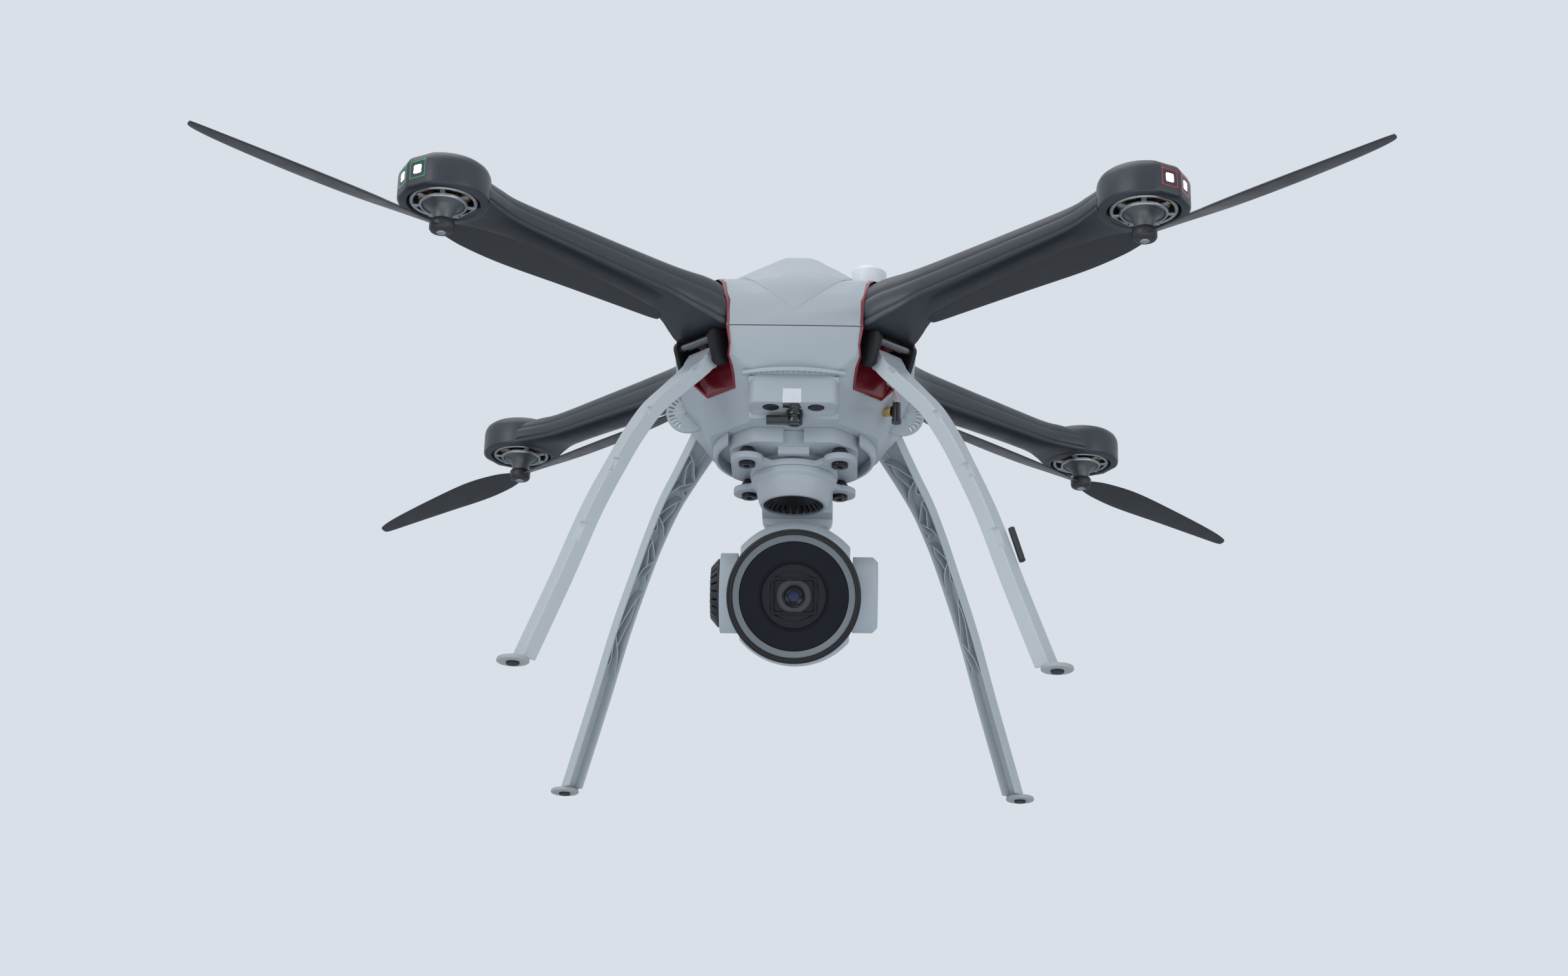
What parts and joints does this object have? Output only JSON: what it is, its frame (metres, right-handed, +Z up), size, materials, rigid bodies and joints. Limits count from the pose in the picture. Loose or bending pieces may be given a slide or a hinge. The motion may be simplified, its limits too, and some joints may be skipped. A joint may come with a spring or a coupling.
{
  "type": "quadcopter drone",
  "caption": "Folding camera quadcopter with drooping hinged arms, underslung pusher propellers, splayed landing legs and a three-axis gimbal camera.",
  "frame": {"origin": "on the ground under the middle of the airframe, in the plane of the feet", "axes": "+Z up, the camera and nose face -Y, +X to the machine's own left, which is on the right when it is seen from in front; node names use the machine's own left and right"},
  "size_m": [0.722, 0.722, 0.3655],
  "materials": {
    "shell_grey": "satin moulded plastic, pale blue-grey",
    "leg_grey": "satin moulded plastic, pale blue-grey",
    "foot_grey": "matte moulded plastic",
    "arm_black": "satin moulded plastic, charcoal",
    "motor_copper": "copper windings on a dark steel stack",
    "motor_alloy": "machined alloy, satin",
    "propeller_black": "carbon-filled moulding, satin",
    "lamp_green": "clear green window, lit",
    "lamp_red": "clear red window, lit",
    "gasket_black": "matte",
    "liner_red": "glossy deep red moulding",
    "hinge_black": "satin black",
    "pin_steel": "ground steel",
    "puck_white": "milky white radome",
    "disc_grey": "matte grey",
    "strip_chrome": "mirror tape",
    "sensor_black": "fine black mesh and rubber",
    "lock_black": "gloss black",
    "connector_gold": "gold-plated brass",
    "lead_pink": "translucent pinkish jacket with a black boot",
    "battery_grey": "matte wrapped pack",
    "board_green": "solder mask with black chips",
    "damper_rubber": "matte rubber",
    "screw_black": "black oxide",
    "fin_black": "black anodised fins",
    "bezel_black": "black anodised ring",
    "plate_black": "matte black",
    "lens_glass": "coated glass in a black mount"
  },
  "bodies": {
    "airframe": {"upper_shell": "shell_grey", "lower_shell": "shell_grey", "seam_gasket": "gasket_black", "socket_liners": "liner_red", "hinge_brackets": "hinge_black", "hinge_pins": "pin_steel", "dome_cover": "shell_grey", "antenna_puck": "puck_white", "side_discs": "disc_grey", "front_grille": "shell_grey", "reflective_strip": "strip_chrome", "range_sensors": "sensor_black", "lock_body": "lock_black", "radio_connector": "connector_gold", "coax_lead": "lead_pink", "battery_pack": "battery_grey", "control_board": "board_green", "payload_collar": "shell_grey", "payload_dock": "shell_grey", "damper_balls": "damper_rubber", "damper_plate": "shell_grey", "damper_screws": "screw_black"},
    "payload_lever": {"lock_lever": "lock_black"},
    "arm_front_right": {"arm_shell_front_right": "arm_black", "arm_lamps_front_right": "lamp_green", "motor_stator_front_right": "motor_copper"},
    "rotor_front_right": {"motor_bell_front_right": "motor_alloy", "propeller_front_right": "propeller_black"},
    "landing_leg_front_right": {"leg_front_right": "leg_grey", "foot_front_right": "foot_grey"},
    "arm_front_left": {"arm_shell_front_left": "arm_black", "arm_lamps_front_left": "lamp_red", "motor_stator_front_left": "motor_copper"},
    "rotor_front_left": {"motor_bell_front_left": "motor_alloy", "propeller_front_left": "propeller_black"},
    "landing_leg_front_left": {"leg_front_left": "leg_grey", "foot_front_left": "foot_grey", "leg_antenna": "sensor_black"},
    "arm_rear_left": {"arm_shell_rear_left": "arm_black", "arm_lamps_rear_left": "lamp_red", "motor_stator_rear_left": "motor_copper"},
    "rotor_rear_left": {"motor_bell_rear_left": "motor_alloy", "propeller_rear_left": "propeller_black"},
    "landing_leg_rear_left": {"leg_rear_left": "leg_grey", "foot_rear_left": "foot_grey"},
    "arm_rear_right": {"arm_shell_rear_right": "arm_black", "arm_lamps_rear_right": "lamp_green", "motor_stator_rear_right": "motor_copper"},
    "rotor_rear_right": {"motor_bell_rear_right": "motor_alloy", "propeller_rear_right": "propeller_black"},
    "landing_leg_rear_right": {"leg_rear_right": "leg_grey", "foot_rear_right": "foot_grey"},
    "gimbal_yaw": {"yaw_housing": "shell_grey", "yaw_heatsink": "fin_black"},
    "gimbal_roll": {"roll_bracket": "shell_grey", "tilt_knob": "fin_black"},
    "camera": {"camera_housing": "shell_grey", "lens_ring": "bezel_black", "front_plate": "plate_black", "lens_block": "lens_glass"}
  },
  "joints": [
    {"name": "payload_lever_turn", "type": "hinge", "parent": "airframe", "child": "payload_lever", "pos_m": [0.0008, -0.063, 0.206], "axis": [0, 0, 1], "range_deg": [0, 90]},
    {"name": "arm_fold_front_right", "type": "hinge", "parent": "airframe", "child": "arm_front_right", "pos_m": [-0.06788, -0.06788, 0.2645], "axis": [0.7071, -0.7071, 0], "range_deg": [0, 88]},
    {"name": "leg_fold_front_right", "type": "hinge", "parent": "airframe", "child": "landing_leg_front_right", "pos_m": [-0.06435, -0.06435, 0.25], "axis": [0.7071, -0.7071, 0], "range_deg": [0, 38]},
    {"name": "rotor_spin_front_right", "type": "hinge", "parent": "arm_front_right", "child": "rotor_front_right", "pos_m": [-0.225, -0.225, 0.28], "axis": [0, 0, 1], "continuous": true},
    {"name": "arm_fold_front_left", "type": "hinge", "parent": "airframe", "child": "arm_front_left", "pos_m": [0.06788, -0.06788, 0.2645], "axis": [0.7071, 0.7071, 0], "range_deg": [0, 88]},
    {"name": "leg_fold_front_left", "type": "hinge", "parent": "airframe", "child": "landing_leg_front_left", "pos_m": [0.06435, -0.06435, 0.25], "axis": [0.7071, 0.7071, 0], "range_deg": [0, 38]},
    {"name": "rotor_spin_front_left", "type": "hinge", "parent": "arm_front_left", "child": "rotor_front_left", "pos_m": [0.225, -0.225, 0.28], "axis": [0, 0, 1], "continuous": true},
    {"name": "arm_fold_rear_left", "type": "hinge", "parent": "airframe", "child": "arm_rear_left", "pos_m": [0.06788, 0.06788, 0.2645], "axis": [-0.7071, 0.7071, 0], "range_deg": [0, 88]},
    {"name": "leg_fold_rear_left", "type": "hinge", "parent": "airframe", "child": "landing_leg_rear_left", "pos_m": [0.06435, 0.06435, 0.25], "axis": [-0.7071, 0.7071, 0], "range_deg": [0, 38]},
    {"name": "rotor_spin_rear_left", "type": "hinge", "parent": "arm_rear_left", "child": "rotor_rear_left", "pos_m": [0.225, 0.225, 0.28], "axis": [0, 0, 1], "continuous": true},
    {"name": "arm_fold_rear_right", "type": "hinge", "parent": "airframe", "child": "arm_rear_right", "pos_m": [-0.06788, 0.06788, 0.2645], "axis": [-0.7071, -0.7071, 0], "range_deg": [0, 88]},
    {"name": "leg_fold_rear_right", "type": "hinge", "parent": "airframe", "child": "landing_leg_rear_right", "pos_m": [-0.06435, 0.06435, 0.25], "axis": [-0.7071, -0.7071, 0], "range_deg": [0, 38]},
    {"name": "rotor_spin_rear_right", "type": "hinge", "parent": "arm_rear_right", "child": "rotor_rear_right", "pos_m": [-0.225, 0.225, 0.28], "axis": [0, 0, 1], "continuous": true},
    {"name": "gimbal_yaw_turn", "type": "hinge", "parent": "airframe", "child": "gimbal_yaw", "pos_m": [0, 0, 0.19], "axis": [0, 0, 1], "range_deg": [-30, 30]},
    {"name": "gimbal_roll_turn", "type": "hinge", "parent": "gimbal_yaw", "child": "gimbal_roll", "pos_m": [0.0025, 0.065, 0.1045], "axis": [0, 1, 0], "range_deg": [-25, 25]},
    {"name": "camera_tilt", "type": "hinge", "parent": "gimbal_roll", "child": "camera", "pos_m": [0.0025, 0, 0.1045], "axis": [1, 0, 0], "range_deg": [-40, 70]}
  ],
  "couplings": [
    {"joint": "leg_fold_front_right", "follows": "arm_fold_front_right", "ratio": 0.43},
    {"joint": "leg_fold_front_left", "follows": "arm_fold_front_left", "ratio": 0.43},
    {"joint": "leg_fold_rear_left", "follows": "arm_fold_rear_left", "ratio": 0.43},
    {"joint": "leg_fold_rear_right", "follows": "arm_fold_rear_right", "ratio": 0.43}
  ]
}
